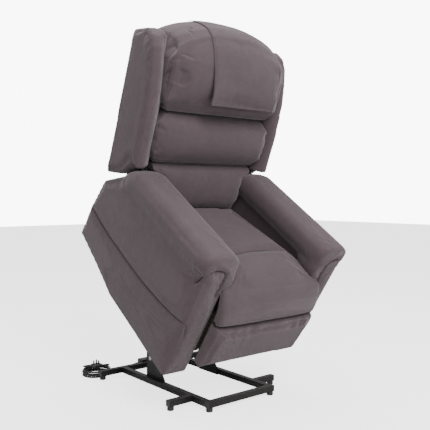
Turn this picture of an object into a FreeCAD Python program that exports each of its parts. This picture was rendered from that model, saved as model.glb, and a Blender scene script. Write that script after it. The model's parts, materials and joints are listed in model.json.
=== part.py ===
"""Lift recliner chair: a powered armchair on a tilting steel base.

Two frames are used, both in millimetres.  The floor frame has x across the chair (the sitter's
left is +x), y to the rear from the front face of the base and z up from the floor.  The chair
frame is the seat's own: y to the rear and z up from the front bottom corner of the arms.  The
model stands with the lift raised, so each chair piece is placed with the raised tilt.
"""
import FreeCAD, Part
import Sketcher
import math
import os

DIMENSIONS = {
    # steel base on the floor
    "tube": 25, "tube_wall": 2, "foot_rise": 17, "foot_radius": 14,
    "base_width": 360, "base_length": 684, "outrigger_span": 580, "outrigger_setback": 112,
    "plug_lip": 2,
    # lift linkage, floor frame
    "plate": 8, "pin_radius": 6, "pin_head": 10, "head_thick": 6, "run_gap": 0.05, "side_gap": 3,
    "link_half": 12, "boss": 15,
    "rear_pivot_y": 465.5, "rear_pivot_z": 199, "front_pivot_y": 448.5, "front_pivot_z": 125.7,
    "open_gap": 5.5, "torque_radius": 16, "torque_wall": 3,
    "drive_arm": 105, "drive_arm_angle": 249.65, "drive_pin": 5, "lever_half": 9, "lever_boss": 10,
    # lift motor, floor frame
    "motor_axis_z": 98, "rod_radius": 10, "rod_seat": 21, "housing_back": 112, "housing_depth": 104,
    "housing_half": 22, "motor_radius": 24, "fork_reach": 26,
    # the raised chair
    "tilt": 33.5, "raised_y": 65.3, "raised_z": 167,
    # seat frame, chair frame
    "rear_link_y": 209.5, "rear_link_z": 92, "front_link_y": 188, "front_link_z": 54.4,
    "side_rail_x": 190, "side_rail_low": 5, "side_rail_top": 80,
    "side_rail_front": 66, "side_rail_rear": 672, "cross_bar": 25,
    "board": 18, "hinge_room": 8, "board_x": 228, "board_rear": 650, "board_top": 300, "deck": 4,
    # arms, chair frame
    "arm_inner": 252, "arm_outer": 362, "pad_inner": 216, "pad_outer": 369,
    "arm_foot_rear": 485, "arm_rear": 821, "arm_kick": 73, "arm_level": 485, "arm_top": 568,
    "arm_slope_y": 645, "arm_heel_y": 768, "arm_heel_z": 396, "soft_gap": 0.6,
    # seat and legrest, chair frame
    "seat_low": 325, "seat_top": 451, "seat_fall": 76, "seat_rear": 584, "seat_half": 246,
    "leg_hinge_y": 10, "leg_hinge_z": 384, "leg_low": 82, "leg_face": -83, "leg_half": 262,
    # back, chair frame
    "back_hinge_y": 672, "back_hinge_z": 288, "back_lean": 10.4, "back_half": 277,
    "wing_inner": 278, "wing_outer": 362,
    "back_arm": 60, "back_arm_angle": 292.5, "lumbar_low": 80,
    "cover_left": -126, "cover_width": 340,
    # handset in its pocket on the sitter's left arm
    "handset_width": 46, "handset_height": 150, "handset_thick": 16,
    # mains lead
    "lead_radius": 3.5, "coil_outer": 76, "coil_inner": 48, "coil_height": 34,
}

doc = FreeCAD.newDocument("lift_recliner")
sheet = doc.addObject("Spreadsheet::Sheet", "sizes")
for row, (alias, value) in enumerate(DIMENSIONS.items(), start=1):
    sheet.set("A%d" % row, alias)
    sheet.set("B%d" % row, str(value))
    sheet.setAlias("B%d" % row, alias)
doc.recompute()

pieces = []
cord_pieces = []


def size(alias):
    """The value a sheet cell holds."""
    return float(sheet.get(alias))


def value(text):
    """The number an expression of sheet aliases gives."""
    sheet.set("D1", "=" + str(text))
    sheet.recompute()
    return float(sheet.get("D1"))


def bound(text):
    """An expression with each sheet alias turned into a reference to its cell."""
    words, word = "", ""
    for letter in text + " ":
        if letter.isalnum() or letter == "_":
            word += letter
            continue
        words += "sizes." + word if word in DIMENSIONS else word
        words += letter
        word = ""
    return words.strip()


def tilted(angle):
    return FreeCAD.Rotation(FreeCAD.Vector(1, 0, 0), angle)


FLOOR = FreeCAD.Placement()
CHAIR = FreeCAD.Placement(FreeCAD.Vector(0, size("raised_y"), size("raised_z")), tilted(size("tilt")))


def in_floor_frame(y, z):
    """The place in the floor frame of a chair-frame point."""
    point = CHAIR.multVec(FreeCAD.Vector(0, y, z))
    return point.y, point.z


def add_outline(sketch, corners, first):
    """A closed loop of lines with each corner's two distances from the axes bound to the sheet."""
    points = [FreeCAD.Vector(value(x), value(y), 0) for x, y in corners]
    count = len(points)
    for i in range(count):
        sketch.addGeometry(Part.LineSegment(points[i], points[(i + 1) % count]), False)
    for i in range(count):
        following = first + (i + 1) % count
        sketch.addConstraint(Sketcher.Constraint("Coincident", first + i, 2, following, 1))
    for i, (x, y) in enumerate(corners):
        for kind, text, number in (("DistanceX", x, points[i].x), ("DistanceY", y, points[i].y)):
            index = sketch.addConstraint(Sketcher.Constraint(kind, -1, 1, first + i, 1, number))
            sketch.setExpression("Constraints[%d]" % index, bound(str(text)))
    return first + count


def add_hole(sketch, x, y, radius, first):
    """A circle with its centre and radius bound to the sheet."""
    centre = FreeCAD.Vector(value(x), value(y), 0)
    sketch.addGeometry(Part.Circle(centre, FreeCAD.Vector(0, 0, 1), value(radius)), False)
    for kind, text, number in (("DistanceX", x, centre.x), ("DistanceY", y, centre.y)):
        index = sketch.addConstraint(Sketcher.Constraint(kind, -1, 1, first, 3, number))
        sketch.setExpression("Constraints[%d]" % index, bound(str(text)))
    index = sketch.addConstraint(Sketcher.Constraint("Radius", first, value(radius)))
    sketch.setExpression("Constraints[%d]" % index, bound(str(radius)))
    return first + 1


def padded(label, plane, start, depth, outlines=(), circles=(), frame=FLOOR, rounding=None):
    """A body padded from one sketch.  plane is YZ, XZ or XY; start and depth run along its normal
    (for XZ, towards the rear).  The first outline is the outside and the rest are openings."""
    body = doc.addObject("PartDesign::Body", "body_" + label)
    sketch = body.newObject("Sketcher::SketchObject", "sketch_" + label)
    support = [f for f in body.Origin.OriginFeatures if f.Role == plane + "_Plane"][0]
    sketch.AttachmentSupport = [(support, "")]
    sketch.MapMode = "FlatFace"
    offset = "-(%s)" % bound(str(start)) if plane == "XZ" else bound(str(start))
    sketch.setExpression("AttachmentOffset.Base.z", offset)
    used = 0
    for corners in outlines:
        used = add_outline(sketch, corners, used)
    for x, y, radius in circles:
        used = add_hole(sketch, x, y, radius, used)
    pad = body.newObject("PartDesign::Pad", "pad_" + label)
    pad.Profile = sketch
    pad.setExpression("Length", bound(str(depth)))
    pad.Reversed = plane == "XZ"
    if rounding:
        fillet = body.newObject("PartDesign::Fillet", "fillet_" + label)
        fillet.Base = (pad, ["Edge1"])
        fillet.UseAllEdges = True
        fillet.setExpression("Radius", bound(str(rounding)))
    body.Label = label
    body.Placement = frame
    sketch.Visibility = False
    pieces.append(body)
    return body


def both_sides(label, plane, start, depth, **shape):
    """Two like bodies, left and right of the middle plane, along x."""
    left = padded(label + "_left", plane, start, depth, **shape)
    right = padded(label + "_right", plane, "-(%s)-(%s)" % (start, depth), depth, **shape)
    return left, right


def joined_pair(label, plane, start, depth, **shape):
    """A left and a right solid that share one node."""
    halves = both_sides(label, plane, start, depth, **shape)
    for half in halves:
        pieces.remove(half)
    node = doc.addObject("Part::Compound", "pair_" + label)
    node.Links = list(halves)
    node.Label = label
    pieces.append(node)


def group(label, shapes, frame=FLOOR, cord=False):
    """One node that holds several like solids."""
    node = doc.addObject("Part::Feature", label)
    node.Label = label
    node.Shape = shapes[0] if len(shapes) == 1 else Part.makeCompound(shapes)
    node.Placement = frame
    (cord_pieces if cord else pieces).append(node)
    return node


def rectangle(x0, x1, y0, y1):
    return [(x0, y0), (x1, y0), (x1, y1), (x0, y1)]


def cylinder_x(radius, x0, x1, y, z):
    """A round bar along x."""
    return Part.makeCylinder(radius, x1 - x0, FreeCAD.Vector(x0, y, z), FreeCAD.Vector(1, 0, 0))


def box(x0, x1, y0, y1, z0, z1):
    return Part.makeBox(x1 - x0, y1 - y0, z1 - z0, FreeCAD.Vector(x0, y0, z0))


# ---------------------------------------------------------------- steel base
HALF = "base_width/2"
LOW, TOP = "foot_rise", "foot_rise+tube"


def square_tube(x0, x1, y0, y1, wall):
    return [rectangle(x0, x1, y0, y1),
            rectangle("%s+%s" % (x0, wall), "%s-%s" % (x1, wall), "%s+%s" % (y0, wall),
                      "%s-%s" % (y1, wall))]


both_tubes = (("left", HALF + "-tube", HALF), ("right", "-" + HALF, "-" + HALF + "+tube"))
for side, inner, outer in both_tubes:
    padded("base_rail_" + side, "XZ", "tube", "base_length-2*tube",
           outlines=square_tube(inner, outer, LOW, TOP, "tube_wall"))
cross_section = square_tube("0", "tube", LOW, TOP, "tube_wall")
padded("front_cross_tube", "YZ", "-" + HALF, "base_width", outlines=cross_section)
rear_section = square_tube("base_length-tube", "base_length", LOW, TOP, "tube_wall")
padded("rear_cross_tube", "YZ", "-outrigger_span/2", "outrigger_span", outlines=rear_section)
outrigger_section = square_tube("outrigger_setback", "outrigger_setback+tube", LOW, TOP, "tube_wall")
joined_pair("front_outriggers", "YZ", HALF, "(outrigger_span-base_width)/2", outlines=[*outrigger_section])

tube = size("tube")
low = size("foot_rise")
half_width = size("base_width") / 2
half_span = size("outrigger_span") / 2
length = size("base_length")
setback = size("outrigger_setback")
inset = tube / 2

feet = []
for side in (-1, 1):
    for x, y in ((half_width - inset, inset), (half_span - inset, setback + inset),
                 (half_span - inset, length - inset)):
        foot = Part.makeCylinder(size("foot_radius"), low, FreeCAD.Vector(side * x, y, 0))
        feet.append(foot.makeFillet(2, [foot.Edges[2]]))
group("rubber_feet", feet)

wall = size("tube_wall")
lip = size("plug_lip")


def tube_plug(side, x_end, y):
    """A plastic plug in the end of a square tube that runs along x, with a thin lip outside."""
    face = box(0, lip, y, y + tube, low, low + tube)
    stem = box(-12, 0, y + wall, y + tube - wall, low + wall, low + tube - wall)
    plug = face.fuse(stem)
    if side < 0:
        plug = plug.mirror(FreeCAD.Vector(0, 0, 0), FreeCAD.Vector(1, 0, 0))
    plug.translate(FreeCAD.Vector(side * x_end, 0, 0))
    return plug


plugs = []
for side in (-1, 1):
    for x_end, y in ((half_width, 0), (half_span, setback), (half_span, length - tube)):
        plugs.append(tube_plug(side, x_end, y))
group("tube_end_plugs", plugs)

# upright plates that carry the four fixed pivots, welded to the inner faces of the rails
POST_X = HALF + "-tube-plate"
joined_pair("rear_posts", "YZ", POST_X, "plate",
            outlines=[[("front_pivot_y-20", LOW), ("rear_pivot_y+20", LOW),
                       ("rear_pivot_y+20", "rear_pivot_z+8"),
                       ("rear_pivot_y+9", "rear_pivot_z+20"), ("rear_pivot_y-9", "rear_pivot_z+20"),
                       ("rear_pivot_y-22", "rear_pivot_z+6"), ("front_pivot_y-20", "front_pivot_z+8")]],
            circles=[("rear_pivot_y", "rear_pivot_z", "pin_radius"),
                     ("front_pivot_y", "front_pivot_z", "pin_radius")])
joined_pair("post_braces", "YZ", POST_X, "plate",
            outlines=[[("front_pivot_y-103", LOW), ("front_pivot_y-20", LOW),
                       ("front_pivot_y-20", "front_pivot_z-8"),
                       ("front_pivot_y-56", "front_pivot_z-24"), ("front_pivot_y-98", "foot_rise+tube+2")]])

plate = size("plate")
gap = size("side_gap")
pin = size("pin_radius")
head = size("pin_head")
thick = size("head_thick")
post_x = half_width - tube - plate
link_x = post_x - gap - plate
rail_x = size("side_rail_x")


def stepped_pin(side, x_inner, x_outer, y, z):
    """A pivot bolt along x with its nut on the outer end."""
    bolt = cylinder_x(pin, x_inner, x_outer, y, z).fuse(cylinder_x(head, x_outer, x_outer + thick, y, z))
    if side < 0:
        bolt = bolt.mirror(FreeCAD.Vector(0, 0, 0), FreeCAD.Vector(1, 0, 0))
    return bolt


fixed = [(size("rear_pivot_y"), size("rear_pivot_z")), (size("front_pivot_y"), size("front_pivot_z"))]
group("fixed_pivot_bolts", [stepped_pin(side, link_x - gap, post_x + plate, y, z)
                            for side in (-1, 1) for y, z in fixed])

# ---------------------------------------------------------------- lift links
rear_y, rear_z = in_floor_frame(size("rear_link_y"), size("rear_link_z"))
front_y, front_z = in_floor_frame(size("front_link_y"), size("front_link_z"))


def link_plate(x0, start, end, holes, half=size("link_half"), boss=size("boss")):
    """A flat link with round ends, from one pivot to the other, and a bored hole at each."""
    run = FreeCAD.Vector(0, end[0] - start[0], end[1] - start[1])
    along = FreeCAD.Vector(run).normalize()
    side = FreeCAD.Vector(0, -along.z, along.y) * half
    origin = FreeCAD.Vector(x0, start[0], start[1])
    corners = [origin + side, origin - side, origin + run - side, origin + run + side]
    bar = Part.Face(Part.makePolygon(corners + corners[:1])).extrude(FreeCAD.Vector(plate, 0, 0))
    for y, z in (start, end):
        bar = bar.fuse(cylinder_x(boss, x0, x0 + plate, y, z))
    for (y, z), radius in zip((start, end), holes):
        bar = bar.cut(cylinder_x(radius, x0 - 1, x0 + plate + 1, y, z))
    return bar.removeSplitter()


running = pin + size("run_gap")
sides = (link_x, -link_x - plate)
group("rear_lift_links", [link_plate(x0, fixed[0], (rear_y, rear_z), (running, running)) for x0 in sides])
loose = pin + size("open_gap")
tie_y = (fixed[1][0] + front_y) / 2
tie_z = (fixed[1][1] + front_z) / 2
group("front_lift_links", [link_plate(x0, fixed[1], (front_y, front_z), (running, loose)) for x0 in sides]
      + [cylinder_x(9, -link_x, link_x, tie_y, tie_z)])

LINK_X = POST_X + "-side_gap-plate"
padded("torque_tube", "YZ", "-(%s)" % LINK_X, "2*(%s)" % LINK_X,
       circles=[("rear_pivot_y", "rear_pivot_z", "torque_radius"),
                ("rear_pivot_y", "rear_pivot_z", "torque_radius-torque_wall")])
arm_angle = math.radians(size("drive_arm_angle"))
drive_y = fixed[0][0] + size("drive_arm") * math.cos(arm_angle)
drive_z = fixed[0][1] + size("drive_arm") * math.sin(arm_angle)
lever_half, lever_boss = size("lever_half"), size("lever_boss")
drive_end = link_plate(-plate / 2, fixed[0], (drive_y, drive_z), (pin, size("drive_pin") - 1), lever_half,
                       lever_boss)
arm_shape = drive_end.cut(cylinder_x(size("torque_radius"), -plate, plate, *fixed[0]))
group("lift_drive_arm", [arm_shape.fuse(cylinder_x(size("drive_pin"), -22, 22, drive_y, drive_z))])

# ---------------------------------------------------------------- lift motor
axis_z = size("motor_axis_z")
rod = size("rod_radius")
housing_y = length - size("housing_back")
depth = size("housing_depth")
motor = size("motor_radius")
bore = rod + 1


def cylinder_y(radius, y0, y1, x, z):
    """A round bar along y."""
    return Part.makeCylinder(radius, y1 - y0, FreeCAD.Vector(x, y0, z), FreeCAD.Vector(0, 1, 0))


half_case = size("housing_half")
gearbox = box(-30, 88, housing_y, housing_y + depth, axis_z - half_case, axis_z + half_case)
gearbox = gearbox.makeFillet(5, gearbox.Edges)
housing = gearbox.fuse(cylinder_y(18, housing_y - 40, housing_y + 10, 0, axis_z))
group("lift_gearbox", [housing.cut(cylinder_y(bore, housing_y - 41, housing_y + depth - 7, 0, axis_z))])
group("lift_motor_can", [cylinder_y(motor - 3, housing_y - 95, housing_y, 59, axis_z)])
bracket = box(-26, 84, length - tube + 2, housing_y + depth - 6, low + tube, axis_z - half_case)
group("motor_bracket", [bracket])

fork_rear = drive_y + size("fork_reach")
fork = box(-20, 20, drive_y - 13, fork_rear, axis_z - 18, axis_z + 17)
fork = fork.cut(box(-plate / 2 - 2, plate / 2 + 2, drive_y - 14, fork_rear - 6, axis_z - 19, axis_z + 18))
slot_half = size("drive_pin") + 1.2
slot_mid = drive_z - 3.3
slot = box(-21, 21, drive_y - slot_half, drive_y + slot_half, slot_mid - 3.6, slot_mid + 3.6)
slot = slot.fuse(cylinder_x(slot_half, -21, 21, drive_y, slot_mid + 3.6))
slot = slot.fuse(cylinder_x(slot_half, -21, 21, drive_y, slot_mid - 3.6))
rod_bar = cylinder_y(rod, fork_rear - 3, housing_y - size("rod_seat"), 0, axis_z)
group("lift_rod", [fork.cut(slot).fuse(rod_bar)])

# ---------------------------------------------------------------- seat frame
joined_pair("seat_side_rails", "YZ", "side_rail_x", "plate", frame=CHAIR,
           outlines=[[("side_rail_front+30", "side_rail_low"), ("side_rail_rear-30", "side_rail_low"),
                      ("side_rail_rear", "side_rail_low+35"), ("side_rail_rear", "side_rail_top"),
                      ("rear_link_y+56", "side_rail_top"), ("rear_link_y+20", "rear_link_z+18"),
                      ("rear_link_y-20", "rear_link_z+18"), ("rear_link_y-56", "side_rail_top"),
                      ("side_rail_front", "side_rail_top"), ("side_rail_front", "side_rail_low+35")]],
           circles=[("rear_link_y", "rear_link_z", "pin_radius"),
                    ("front_link_y", "front_link_z", "pin_radius")])
seat_pivots = [(size("rear_link_y"), size("rear_link_z")), (size("front_link_y"), size("front_link_z"))]
group("seat_pivot_bolts", [stepped_pin(side, link_x - gap, rail_x + plate, y, z)
                           for side in (-1, 1) for y, z in seat_pivots], frame=CHAIR)
BOARD_OUT = "board_x+board"
for name, y0 in (("front_cross_bar", "side_rail_front"), ("rear_cross_bar", "side_rail_rear-32-cross_bar")):
    padded(name, "YZ", "-(%s)" % BOARD_OUT, "2*(%s)" % BOARD_OUT, frame=CHAIR,
           outlines=square_tube(y0, y0 + "+cross_bar", "side_rail_top", "side_rail_top+cross_bar",
                                "tube_wall"))
joined_pair("seat_side_boards", "YZ", "board_x", "board", frame=CHAIR,
           outlines=[rectangle("4", "board_rear", "side_rail_top+cross_bar", "board_top")])
padded("seat_front_board", "YZ", "-(board_x-6)", "2*(board_x-6)", frame=CHAIR,
       outlines=[rectangle("4", "4+board", "side_rail_top+cross_bar", "board_top")])
padded("seat_rear_board", "YZ", "-(board_x-20)", "2*(board_x-20)", frame=CHAIR,
       outlines=[rectangle("board_rear-board-24", "board_rear-24", "board_top-46", "board_top")])
board_x = size("board_x")
board = size("board")
board_top = size("board_top")
straps = [box(x - 25, x + 25, 4, size("board_rear"), board_top, board_top + size("deck"))
          for x in (-174, -104, -35, 35, 104, 174)]
group("seat_webbing", straps, frame=CHAIR)

# ---------------------------------------------------------------- arms
ARM_SIDE = [("0", "0"), ("arm_foot_rear", "0"), ("arm_rear", "arm_kick"),
            ("arm_rear-13", "arm_heel_z*0.58"),
            ("arm_heel_y", "arm_heel_z-8"), ("arm_slope_y+8", "arm_level"), ("0", "arm_level")]
ARM_PAD = [("-6", "arm_level"), ("arm_slope_y+8", "arm_level"), ("arm_slope_y-40", "arm_top-10"),
           ("arm_slope_y-90", "arm_top"), ("24", "arm_top"), ("-6", "arm_top-26")]
INNER = [("30", "side_rail_top"), ("arm_foot_rear+120", "side_rail_top"),
         ("arm_rear-60", "side_rail_top+40"),
         ("arm_heel_y-60", "arm_heel_z-40"), ("arm_slope_y-40", "arm_level-20"), ("30", "arm_level-20")]
joined_pair("arm_boards", "YZ", "arm_inner-4", "board", frame=CHAIR, outlines=[INNER])
both_sides("arm_cover", "YZ", "arm_inner-4+board", "arm_outer-arm_inner+4-board", frame=CHAIR,
           outlines=[ARM_SIDE], rounding="14")
both_sides("arm_pad", "YZ", "pad_inner", "pad_outer-pad_inner", frame=CHAIR, outlines=[ARM_PAD],
           rounding="18")

# ---------------------------------------------------------------- seat cushion
padded("seat_cushion", "YZ", "-seat_half", "2*seat_half", frame=CHAIR, rounding="14",
       outlines=[[("46", "seat_low"), ("seat_rear", "seat_low"), ("seat_rear", "seat_top-seat_fall"),
                  ("120", "seat_top"),
                  ("2", "seat_top"),
                  ("2", "seat_top-46"), ("46", "seat_top-52")]])
padded("rear_panel", "YZ", "-(%s)" % BOARD_OUT, "2*(%s)" % BOARD_OUT, frame=CHAIR,
       outlines=[[("board_rear+98", "side_rail_top-12"), ("board_rear+104", "side_rail_top-12"),
                  ("board_rear+84", "back_hinge_z-24"), ("board_rear+78", "back_hinge_z-24")]])

# ---------------------------------------------------------------- legrest
padded("legrest_board", "YZ", "-240", "480", frame=CHAIR,
       outlines=[rectangle("-board-8", "-8", "leg_low+10", "leg_hinge_z-50")])
padded("legrest_pad", "YZ", "-leg_half", "2*leg_half", frame=CHAIR, rounding="10",
       outlines=[[("-board-8-soft_gap", "leg_low"), ("-board-8-soft_gap", "leg_hinge_z-56"),
                  ("leg_face+8", "leg_hinge_z-16"), ("leg_face", "leg_hinge_z-100"),
                  ("leg_face+20", "leg_low")]])
HINGE_PLATE = [("-8", "leg_hinge_z-150"), ("0", "leg_hinge_z-150"), ("2", "leg_hinge_z-12"),
               ("18", "leg_hinge_z-10"),
               ("20", "leg_hinge_z+8"), ("4", "leg_hinge_z+11"), ("-8", "leg_hinge_z-6")]
joined_pair("legrest_hinge_arms", "YZ", "board_x-plate-hinge_room", "5", frame=CHAIR,
           outlines=[HINGE_PLATE], circles=[("leg_hinge_y", "leg_hinge_z", "pin_radius-2+run_gap")])
BRACKET = [("4", "board_top-60"), ("22", "board_top-60"), ("24", "leg_hinge_z+6"), ("14", "leg_hinge_z+13"),
           ("2", "leg_hinge_z+10"), ("2", "leg_hinge_z-8")]
joined_pair("legrest_brackets", "YZ", "board_x-6", "6", frame=CHAIR, outlines=[BRACKET],
           circles=[("leg_hinge_y", "leg_hinge_z", "pin_radius-2")])
leg_pin = pin - 2
leg_y, leg_z = size("leg_hinge_y"), size("leg_hinge_z")
hinge_y, hinge_z = size("back_hinge_y"), size("back_hinge_z")
hinge_pins = [cylinder_x(leg_pin, board_x - plate - 12, board_x, leg_y, leg_z),
              cylinder_x(leg_pin, -board_x, -board_x + plate + 12, leg_y, leg_z),
              cylinder_x(pin, board_x - plate - 12, board_x, hinge_y, hinge_z),
              cylinder_x(pin, -board_x, -board_x + plate + 12, hinge_y, hinge_z)]
group("seat_hinge_pins", hinge_pins, frame=CHAIR)

# ---------------------------------------------------------------- back
LEAN = CHAIR.multiply(FreeCAD.Placement(FreeCAD.Vector(0, hinge_y, hinge_z), tilted(-size("back_lean"))))
BACK_PLATE = [("-16", "-16"), ("16", "-16"), ("40", "120"), ("40", "250"), ("14", "250"), ("12", "120")]
joined_pair("back_hinge_plates", "YZ", "board_x-16", "6", frame=LEAN, outlines=[BACK_PLATE],
           circles=[("0", "0", "pin_radius+run_gap")])
joined_pair("back_brackets", "YZ", "board_x-7", "7", frame=CHAIR,
           outlines=[rectangle("back_hinge_y-40", "back_hinge_y+18", "board_top-80", "board_top+8")],
           circles=[("back_hinge_y", "back_hinge_z", "pin_radius")])
lever_angle = math.radians(size("back_arm_angle") + size("back_lean"))
lever_tip = (size("back_arm") * math.cos(lever_angle), size("back_arm") * math.sin(lever_angle))
lever_bar = link_plate(-plate / 2, (0, 0), lever_tip, (pin, size("drive_pin") - 1), lever_half, lever_boss)
lever_bar = lever_bar.fuse(cylinder_x(pin + 7, -board_x + 16, board_x - 16, 0, 0))
lever_bar = lever_bar.cut(cylinder_x(pin + 4, -board_x, board_x, 0, 0))
group("back_drive_arm", [lever_bar.fuse(cylinder_x(size("drive_pin"), -15, 15, *lever_tip))], frame=LEAN)
padded("back_frame", "XZ", "14", "26", frame=LEAN,
       outlines=[rectangle("-(board_x-30)", "board_x-30", "120", "790"),
                 rectangle("-(board_x-75)", "board_x-75", "170", "755")])
padded("outer_back", "XZ", "92", "14", frame=LEAN,
       outlines=[[("-(wing_inner-24)", "70"), ("wing_inner-24", "70"), ("wing_inner-24", "812"),
                  ("wing_inner-60", "846"), ("-(wing_inner-60)", "846"), ("-(wing_inner-24)", "812")]])
WING = [("-129", "271"), ("-101", "273"), ("-36", "209"), ("84", "168"), ("98", "770"), ("4", "800"),
        ("-70", "740"),
        ("-112", "600"), ("-130", "420")]
both_sides("wing", "YZ", "wing_inner", "wing_outer-wing_inner", frame=LEAN, outlines=[WING], rounding="16")
padded("lumbar_cushion", "XZ", "-140", "150", frame=LEAN, rounding="14",
       outlines=[[("-(pad_inner-4)", "lumbar_low"), ("pad_inner-4", "lumbar_low"), ("pad_inner-4", "281"),
                  ("-(pad_inner-4)", "281")]])
padded("middle_cushion", "YZ", "-(back_half-2)", "2*(back_half-2)", frame=LEAN, rounding="20",
       outlines=[[("10", "283"), ("10", "501"), ("-108", "501"), ("-148", "450"), ("-148", "336"),
                  ("-108", "283")]])
padded("head_cushion", "YZ", "-(back_half-2)", "2*(back_half-2)", frame=LEAN, rounding="16",
       outlines=[[("10", "503"), ("10", "806"), ("90", "806"), ("90", "850"), ("-70", "852"), ("-130", "804"),
                  ("-158", "704"), ("-158", "552"), ("-112", "503")]])
padded("headrest_cover", "YZ", "cover_left", "cover_width", frame=LEAN,
       outlines=[[("-163", "566"), ("-159", "566"), ("-159", "704"), ("-131", "804.4"), ("-70.3", "853"),
                  ("80", "851.1"), ("80", "855.1"), ("-71.7", "857"), ("-134.4", "806.7"), ("-163", "704.6")]])

# ---------------------------------------------------------------- recline motor under the seat
tip_angle = math.radians(size("back_arm_angle"))
tip_y = hinge_y + size("back_arm") * math.cos(tip_angle)
tip_z = hinge_z + size("back_arm") * math.sin(tip_angle)
rod_z = tip_z - 2.4
RECLINE_ROD = 100
fork_front = tip_y - 26
yoke = box(-16, 16, fork_front, tip_y + 11, rod_z - 16, rod_z + 16)
yoke = yoke.cut(box(-plate / 2 - 2, plate / 2 + 2, fork_front + 6, tip_y + 12, rod_z - 17, rod_z + 17))
yoke = yoke.cut(box(-17, 17, tip_y - slot_half, tip_y + slot_half, rod_z - 11, rod_z + 11))
group("recline_rod_fork", [yoke.fuse(cylinder_y(8, fork_front - RECLINE_ROD, fork_front, 0, rod_z))],
      frame=CHAIR)
sleeve_front = fork_front - RECLINE_ROD - 54
case = box(-26, 70, sleeve_front, sleeve_front + 60, rod_z - 24, rod_z + 24)
case = case.makeFillet(5, case.Edges).fuse(cylinder_y(15, sleeve_front + 50, sleeve_front + 96, 0, rod_z))
case = case.cut(cylinder_y(9, sleeve_front + 5, sleeve_front + 97, 0, rod_z))
case = case.fuse(cylinder_y(22, sleeve_front - 80, sleeve_front + 2, 44, rod_z))
case = case.fuse(box(-20, 60, sleeve_front + 10, sleeve_front + 50, rod_z + 20, board_top))
group("recline_motor", [case], frame=CHAIR)

# ---------------------------------------------------------------- handset in its side pocket
hand_w, hand_h, hand_t = size("handset_width"), size("handset_height"), size("handset_thick")
pad_x = size("arm_outer") + 1
hand_y, hand_z = 250, 320
pocket = box(pad_x - 1, pad_x + hand_t + 4, hand_y - hand_w / 2 - 4, hand_y + hand_w / 2 + 4, hand_z - 74,
             hand_z + 20)
room = box(pad_x + 1, pad_x + hand_t + 2, hand_y - hand_w / 2 - 2, hand_y + hand_w / 2 + 2, hand_z - 72,
           hand_z + 21)
group("handset_pocket", [pocket.cut(room)], frame=CHAIR)
shell = box(pad_x + 1.5, pad_x + 1.5 + hand_t, hand_y - hand_w / 2, hand_y + hand_w / 2, hand_z - 71,
            hand_z - 71 + hand_h)
shell = shell.makeFillet(4, shell.Edges)
button_z = (hand_z + 40, hand_z + 58)
for z in button_z:
    shell = shell.cut(cylinder_x(7, pad_x + 11, pad_x + 20, hand_y, z))
group("handset_shell", [shell], frame=CHAIR)
for name, z in zip(("handset_button_down", "handset_button_up"), button_z):
    group(name, [cylinder_x(6.6, pad_x + 14, pad_x + 19, hand_y, z)], frame=CHAIR)

# ---------------------------------------------------------------- mains lead
lead = size("lead_radius")
tail_y = length + 24
relief = Part.makeCone(4.5, 7.5, 30, FreeCAD.Vector(-80, tail_y, 32), FreeCAD.Vector(1, 0, 0))
inlet = box(-50, 10, length, length + 48, 14, 50)
inlet = inlet.makeFillet(4, inlet.Edges)
group("lead_inlet_box", [inlet])
group("lead_strain_relief", [relief], cord=True)
coil_x, coil_y = -262, tail_y + 54
coil_ring = Part.makeCylinder(size("coil_outer"), size("coil_height"), FreeCAD.Vector(coil_x, coil_y, 0))
coil_ring = coil_ring.cut(Part.makeCylinder(size("coil_inner"), size("coil_height") + 2,
                                            FreeCAD.Vector(coil_x, coil_y, -1)))
group("mains_lead_coil", [coil_ring], cord=True)
# the lead's route from its exit: x across, y behind the exit, z above the floor
LEAD_ROUTE = [(-80, 0, 32), (-94, 0, 31), (-108, 0.6, 26), (-121, 2, 18), (-135, 5, 10), (-150, 10, 5),
              (-166, 17, 3.6), (-182, 27, 3.6), (-194, 41, 4.4)]


def rounded_route(points, radius):
    """A tube of straight runs and tangent arcs, each arc as large as its two runs allow."""
    route = [FreeCAD.Vector(x, tail_y + y, z) for x, y, z in points]
    edges, here, radii = [], route[0], []
    for before, corner, after in zip(route, route[1:], route[2:]):
        back, on = before - corner, after - corner
        turn = math.pi - back.getAngle(on)
        reach = 0.45 * min(back.Length, on.Length)
        radii.append(reach / math.tan(turn / 2))
        start = corner + FreeCAD.Vector(back).normalize() * reach
        end = corner + FreeCAD.Vector(on).normalize() * reach
        middle = FreeCAD.Vector(back).normalize() + FreeCAD.Vector(on).normalize()
        rise = radii[-1] / math.cos(turn / 2) - radii[-1]
        edges.append(Part.LineSegment(here, start).toShape())
        edges.append(Part.Arc(start, corner + middle.normalize() * rise, end).toShape())
        here = end
    edges.append(Part.LineSegment(here, route[-1]).toShape())
    path = Part.Wire(edges)
    ring = Part.Wire(Part.makeCircle(radius, route[0], route[1] - route[0]))
    tube_solid = path.makePipeShell([ring], True, False)
    print("lead tube %.0f mm, smallest arc %.0f, volume ratio %.3f" % (
        path.Length, min(radii), tube_solid.Volume / (math.pi * radius ** 2 * path.Length)))
    return tube_solid


group("mains_lead", [rounded_route(LEAD_ROUTE, lead)], cord=True)
plug_body = box(coil_x - 22, coil_x + 26, coil_y - 22, coil_y + 22, size("coil_height"),
                size("coil_height") + 18)
plug_body = plug_body.makeFillet(6, plug_body.Edges)
for x, y in ((-14, 0), (6, -11), (6, 11)):
    plug_body = plug_body.fuse(box(coil_x + x - 3, coil_x + x + 3, coil_y + y - 2, coil_y + y + 2,
                                   size("coil_height") + 17, size("coil_height") + 36))
group("mains_plug", [plug_body], cord=True)

# ---------------------------------------------------------------- write out
doc.recompute()


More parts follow.
